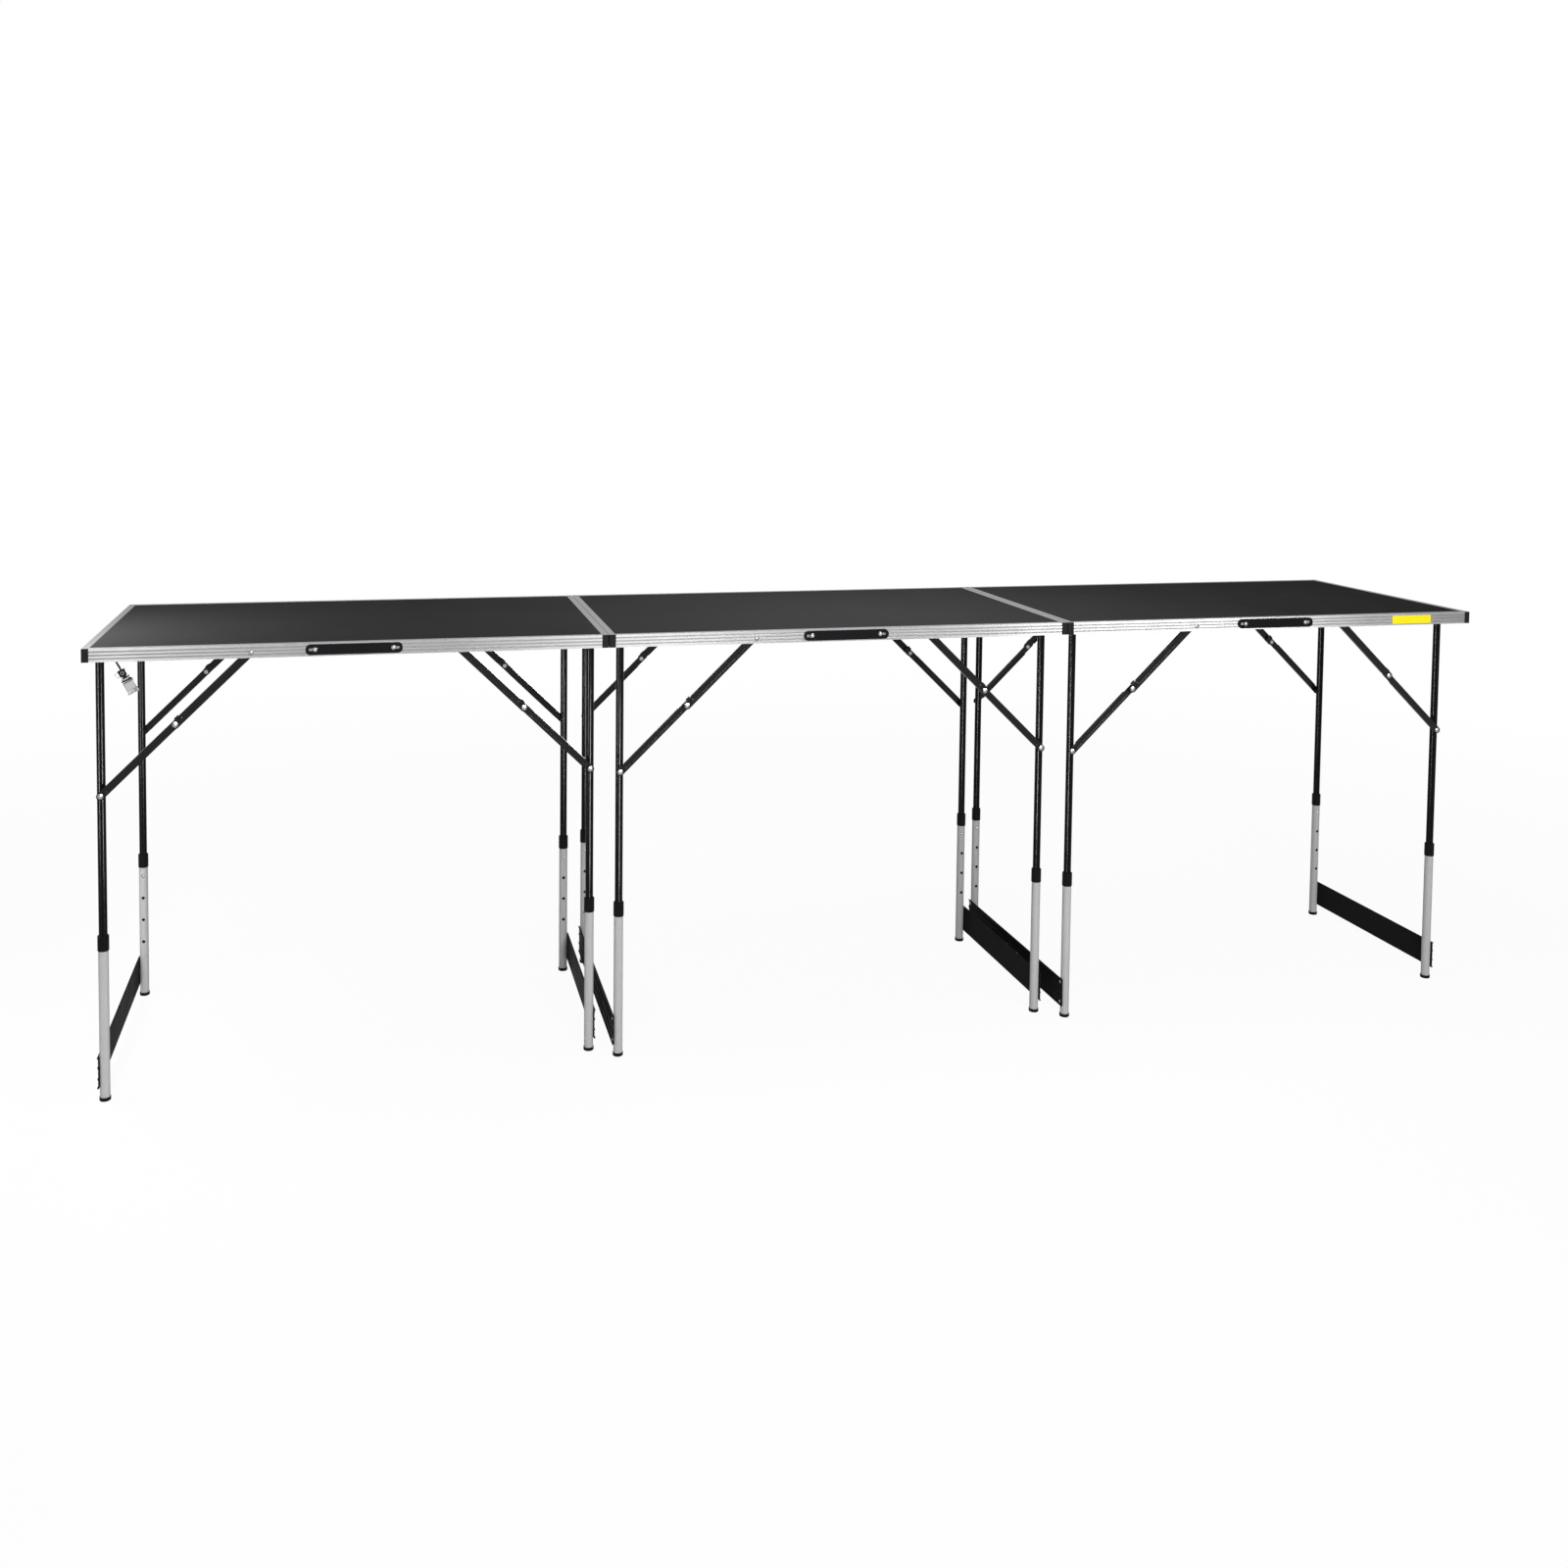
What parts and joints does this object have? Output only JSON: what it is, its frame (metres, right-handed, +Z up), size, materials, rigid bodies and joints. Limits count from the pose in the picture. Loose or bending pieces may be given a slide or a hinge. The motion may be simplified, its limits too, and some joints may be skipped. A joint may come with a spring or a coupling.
{
  "type": "folding trestle table set",
  "caption": "Row of folding work tables with dark board tops in aluminium edge rails, folding braced leg frames, telescopic feet with spring buttons and strap handles.",
  "frame": {"origin": "on the floor, under the middle of the row", "axes": "+X along the row to the right as pictured, +Y to the back, +Z up"},
  "size_m": [3.0016, 0.6072, 0.885],
  "materials": {
    "laminate": "charcoal laminate on fibreboard, satin",
    "rail_aluminium": "extruded, satin, fluted",
    "black_plastic": "moulded",
    "strap": "flexible strap, smooth",
    "zinc": "zinc plated",
    "black_paint": "black enamel, glossy",
    "leg_silver": "satin silver",
    "black_fittings": "satin black",
    "chrome": "bright plated"
  },
  "bodies": {
    "left_top": {"left_board": "laminate", "left_rails": "rail_aluminium", "left_end_plugs": "black_plastic", "left_handle": "strap", "left_top_hardware": "zinc"},
    "mid_top": {"mid_board": "laminate", "mid_rails": "rail_aluminium", "mid_end_plugs": "black_plastic", "mid_handle": "strap", "mid_top_hardware": "zinc"},
    "right_top": {"right_board": "laminate", "right_rails": "rail_aluminium", "right_end_plugs": "black_plastic", "right_handle": "strap", "right_top_hardware": "zinc"},
    "left_wide_upper": {"left_wide_upper_legs": "black_paint"},
    "left_wide_lower": {"left_wide_lower_legs": "leg_silver", "left_wide_leg_fittings": "black_fittings"},
    "left_wide_brace_top": {"left_wide_upper_braces": "black_paint"},
    "left_wide_brace_bottom": {"left_wide_lower_braces": "black_paint"},
    "left_wide_front_button": {"left_wide_front_button": "zinc"},
    "left_wide_back_button": {"left_wide_back_button": "zinc"},
    "left_narrow_upper": {"left_narrow_upper_legs": "black_paint"},
    "left_narrow_lower": {"left_narrow_lower_legs": "leg_silver", "left_narrow_leg_fittings": "black_fittings"},
    "left_narrow_brace_top": {"left_narrow_upper_braces": "black_paint"},
    "left_narrow_brace_bottom": {"left_narrow_lower_braces": "black_paint"},
    "left_narrow_front_button": {"left_narrow_front_button": "zinc"},
    "left_narrow_back_button": {"left_narrow_back_button": "zinc"},
    "mid_wide_upper": {"mid_wide_upper_legs": "black_paint"},
    "mid_wide_lower": {"mid_wide_lower_legs": "leg_silver", "mid_wide_leg_fittings": "black_fittings"},
    "mid_wide_brace_top": {"mid_wide_upper_braces": "black_paint"},
    "mid_wide_brace_bottom": {"mid_wide_lower_braces": "black_paint"},
    "mid_wide_front_button": {"mid_wide_front_button": "zinc"},
    "mid_wide_back_button": {"mid_wide_back_button": "zinc"},
    "mid_narrow_upper": {"mid_narrow_upper_legs": "black_paint"},
    "mid_narrow_lower": {"mid_narrow_lower_legs": "leg_silver", "mid_narrow_leg_fittings": "black_fittings"},
    "mid_narrow_brace_top": {"mid_narrow_upper_braces": "black_paint"},
    "mid_narrow_brace_bottom": {"mid_narrow_lower_braces": "black_paint"},
    "mid_narrow_front_button": {"mid_narrow_front_button": "zinc"},
    "mid_narrow_back_button": {"mid_narrow_back_button": "zinc"},
    "right_wide_upper": {"right_wide_upper_legs": "black_paint"},
    "right_wide_lower": {"right_wide_lower_legs": "leg_silver", "right_wide_leg_fittings": "black_fittings"},
    "right_wide_brace_top": {"right_wide_upper_braces": "black_paint"},
    "right_wide_brace_bottom": {"right_wide_lower_braces": "black_paint"},
    "right_wide_front_button": {"right_wide_front_button": "zinc"},
    "right_wide_back_button": {"right_wide_back_button": "zinc"},
    "right_narrow_upper": {"right_narrow_upper_legs": "black_paint"},
    "right_narrow_lower": {"right_narrow_lower_legs": "leg_silver", "right_narrow_leg_fittings": "black_fittings"},
    "right_narrow_brace_top": {"right_narrow_upper_braces": "black_paint"},
    "right_narrow_brace_bottom": {"right_narrow_lower_braces": "black_paint"},
    "right_narrow_front_button": {"right_narrow_front_button": "zinc"},
    "right_narrow_back_button": {"right_narrow_back_button": "zinc"},
    "left_latch_hook": {"left_latch_hook": "black_fittings"},
    "left_latch_lever": {"left_latch_lever": "chrome"}
  },
  "joints": [
    {"name": "left_pull", "type": "slide", "parent": "mid_top", "child": "left_top", "axis": [-1, 0, 0], "range_m": [0, 0.3]},
    {"name": "right_pull", "type": "slide", "parent": "mid_top", "child": "right_top", "axis": [1, 0, 0], "range_m": [0, 0.3]},
    {"name": "left_wide_fold", "type": "hinge", "parent": "left_top", "child": "left_wide_upper", "pos_m": [-1.4733, 0, 0.8698], "axis": [0, -1, 0], "range_deg": [0, 90]},
    {"name": "left_wide_height", "type": "slide", "parent": "left_wide_upper", "child": "left_wide_lower", "axis": [0, 0, 1], "range_m": [0, 0.15], "deforming": ["left_wide_front_button", "left_wide_back_button"]},
    {"name": "left_wide_brace", "type": "hinge", "parent": "left_top", "child": "left_wide_brace_top", "pos_m": [-1.1938, 0, 0.8698], "axis": [0, 1, 0], "range_deg": [0, 44.3]},
    {"name": "left_wide_knee", "type": "hinge", "parent": "left_wide_brace_top", "child": "left_wide_brace_bottom", "pos_m": [-1.33595, 0, 0.73106], "axis": [0, -1, 0], "range_deg": [0, 180]},
    {"name": "left_wide_front_press", "type": "slide", "parent": "left_wide_upper", "child": "left_wide_front_button", "axis": [0, -1, 0], "range_m": [0, 0.0034], "stiffness_N_per_m": 2500},
    {"name": "left_wide_back_press", "type": "slide", "parent": "left_wide_upper", "child": "left_wide_back_button", "axis": [0, 1, 0], "range_m": [0, 0.0034], "stiffness_N_per_m": 2500},
    {"name": "left_narrow_fold", "type": "hinge", "parent": "left_top", "child": "left_narrow_upper", "pos_m": [-0.5283, 0, 0.8698], "axis": [0, 1, 0], "range_deg": [0, 90]},
    {"name": "left_narrow_height", "type": "slide", "parent": "left_narrow_upper", "child": "left_narrow_lower", "axis": [0, 0, 1], "range_m": [0, 0.15], "deforming": ["left_narrow_front_button", "left_narrow_back_button"]},
    {"name": "left_narrow_brace", "type": "hinge", "parent": "left_top", "child": "left_narrow_brace_top", "pos_m": [-0.8078, 0, 0.8698], "axis": [0, -1, 0], "range_deg": [0, 44.3]},
    {"name": "left_narrow_knee", "type": "hinge", "parent": "left_narrow_brace_top", "child": "left_narrow_brace_bottom", "pos_m": [-0.66565, 0, 0.73106], "axis": [0, 1, 0], "range_deg": [0, 180]},
    {"name": "left_narrow_front_press", "type": "slide", "parent": "left_narrow_upper", "child": "left_narrow_front_button", "axis": [0, -1, 0], "range_m": [0, 0.0034], "stiffness_N_per_m": 2500},
    {"name": "left_narrow_back_press", "type": "slide", "parent": "left_narrow_upper", "child": "left_narrow_back_button", "axis": [0, 1, 0], "range_m": [0, 0.0034], "stiffness_N_per_m": 2500},
    {"name": "mid_wide_fold", "type": "hinge", "parent": "mid_top", "child": "mid_wide_upper", "pos_m": [-0.4725, 0, 0.8698], "axis": [0, -1, 0], "range_deg": [0, 90]},
    {"name": "mid_wide_height", "type": "slide", "parent": "mid_wide_upper", "child": "mid_wide_lower", "axis": [0, 0, 1], "range_m": [0, 0.15], "deforming": ["mid_wide_front_button", "mid_wide_back_button"]},
    {"name": "mid_wide_brace", "type": "hinge", "parent": "mid_top", "child": "mid_wide_brace_top", "pos_m": [-0.193, 0, 0.8698], "axis": [0, 1, 0], "range_deg": [0, 44.3]},
    {"name": "mid_wide_knee", "type": "hinge", "parent": "mid_wide_brace_top", "child": "mid_wide_brace_bottom", "pos_m": [-0.33515, 0, 0.73106], "axis": [0, -1, 0], "range_deg": [0, 180]},
    {"name": "mid_wide_front_press", "type": "slide", "parent": "mid_wide_upper", "child": "mid_wide_front_button", "axis": [0, -1, 0], "range_m": [0, 0.0034], "stiffness_N_per_m": 2500},
    {"name": "mid_wide_back_press", "type": "slide", "parent": "mid_wide_upper", "child": "mid_wide_back_button", "axis": [0, 1, 0], "range_m": [0, 0.0034], "stiffness_N_per_m": 2500},
    {"name": "mid_narrow_fold", "type": "hinge", "parent": "mid_top", "child": "mid_narrow_upper", "pos_m": [0.4725, 0, 0.8698], "axis": [0, 1, 0], "range_deg": [0, 90]},
    {"name": "mid_narrow_height", "type": "slide", "parent": "mid_narrow_upper", "child": "mid_narrow_lower", "axis": [0, 0, 1], "range_m": [0, 0.15], "deforming": ["mid_narrow_front_button", "mid_narrow_back_button"]},
    {"name": "mid_narrow_brace", "type": "hinge", "parent": "mid_top", "child": "mid_narrow_brace_top", "pos_m": [0.193, 0, 0.8698], "axis": [0, -1, 0], "range_deg": [0, 44.3]},
    {"name": "mid_narrow_knee", "type": "hinge", "parent": "mid_narrow_brace_top", "child": "mid_narrow_brace_bottom", "pos_m": [0.33515, 0, 0.73106], "axis": [0, 1, 0], "range_deg": [0, 180]},
    {"name": "mid_narrow_front_press", "type": "slide", "parent": "mid_narrow_upper", "child": "mid_narrow_front_button", "axis": [0, -1, 0], "range_m": [0, 0.0034], "stiffness_N_per_m": 2500},
    {"name": "mid_narrow_back_press", "type": "slide", "parent": "mid_narrow_upper", "child": "mid_narrow_back_button", "axis": [0, 1, 0], "range_m": [0, 0.0034], "stiffness_N_per_m": 2500},
    {"name": "right_wide_fold", "type": "hinge", "parent": "right_top", "child": "right_wide_upper", "pos_m": [0.5283, 0, 0.8698], "axis": [0, -1, 0], "range_deg": [0, 90]},
    {"name": "right_wide_height", "type": "slide", "parent": "right_wide_upper", "child": "right_wide_lower", "axis": [0, 0, 1], "range_m": [0, 0.15], "deforming": ["right_wide_front_button", "right_wide_back_button"]},
    {"name": "right_wide_brace", "type": "hinge", "parent": "right_top", "child": "right_wide_brace_top", "pos_m": [0.8078, 0, 0.8698], "axis": [0, 1, 0], "range_deg": [0, 44.3]},
    {"name": "right_wide_knee", "type": "hinge", "parent": "right_wide_brace_top", "child": "right_wide_brace_bottom", "pos_m": [0.66565, 0, 0.73106], "axis": [0, -1, 0], "range_deg": [0, 180]},
    {"name": "right_wide_front_press", "type": "slide", "parent": "right_wide_upper", "child": "right_wide_front_button", "axis": [0, -1, 0], "range_m": [0, 0.0034], "stiffness_N_per_m": 2500},
    {"name": "right_wide_back_press", "type": "slide", "parent": "right_wide_upper", "child": "right_wide_back_button", "axis": [0, 1, 0], "range_m": [0, 0.0034], "stiffness_N_per_m": 2500},
    {"name": "right_narrow_fold", "type": "hinge", "parent": "right_top", "child": "right_narrow_upper", "pos_m": [1.4733, 0, 0.8698], "axis": [0, 1, 0], "range_deg": [0, 90]},
    {"name": "right_narrow_height", "type": "slide", "parent": "right_narrow_upper", "child": "right_narrow_lower", "axis": [0, 0, 1], "range_m": [0, 0.15], "deforming": ["right_narrow_front_button", "right_narrow_back_button"]},
    {"name": "right_narrow_brace", "type": "hinge", "parent": "right_top", "child": "right_narrow_brace_top", "pos_m": [1.1938, 0, 0.8698], "axis": [0, -1, 0], "range_deg": [0, 44.3]},
    {"name": "right_narrow_knee", "type": "hinge", "parent": "right_narrow_brace_top", "child": "right_narrow_brace_bottom", "pos_m": [1.33595, 0, 0.73106], "axis": [0, 1, 0], "range_deg": [0, 180]},
    {"name": "right_narrow_front_press", "type": "slide", "parent": "right_narrow_upper", "child": "right_narrow_front_button", "axis": [0, -1, 0], "range_m": [0, 0.0034], "stiffness_N_per_m": 2500},
    {"name": "right_narrow_back_press", "type": "slide", "parent": "right_narrow_upper", "child": "right_narrow_back_button", "axis": [0, 1, 0], "range_m": [0, 0.0034], "stiffness_N_per_m": 2500},
    {"name": "left_latch_swing", "type": "hinge", "parent": "left_top", "child": "left_latch_hook", "pos_m": [-1.4758, -0.16, 0.865], "axis": [0, -1, 0], "range_deg": [-78, 32]},
    {"name": "left_latch_flip", "type": "hinge", "parent": "left_latch_hook", "child": "left_latch_lever", "pos_m": [-1.44247, -0.16, 0.80231], "axis": [0.8829, 0, 0.4695], "range_deg": [-100, 100]}
  ],
  "couplings": [
    {"joint": "left_wide_brace", "follows": "left_wide_fold", "ratio": 0.49228},
    {"joint": "left_wide_knee", "follows": "left_wide_fold", "ratio": 2},
    {"joint": "left_narrow_brace", "follows": "left_narrow_fold", "ratio": 0.49228},
    {"joint": "left_narrow_knee", "follows": "left_narrow_fold", "ratio": 2},
    {"joint": "mid_wide_brace", "follows": "mid_wide_fold", "ratio": 0.49228},
    {"joint": "mid_wide_knee", "follows": "mid_wide_fold", "ratio": 2},
    {"joint": "mid_narrow_brace", "follows": "mid_narrow_fold", "ratio": 0.49228},
    {"joint": "mid_narrow_knee", "follows": "mid_narrow_fold", "ratio": 2},
    {"joint": "right_wide_brace", "follows": "right_wide_fold", "ratio": 0.49228},
    {"joint": "right_wide_knee", "follows": "right_wide_fold", "ratio": 2},
    {"joint": "right_narrow_brace", "follows": "right_narrow_fold", "ratio": 0.49228},
    {"joint": "right_narrow_knee", "follows": "right_narrow_fold", "ratio": 2}
  ]
}
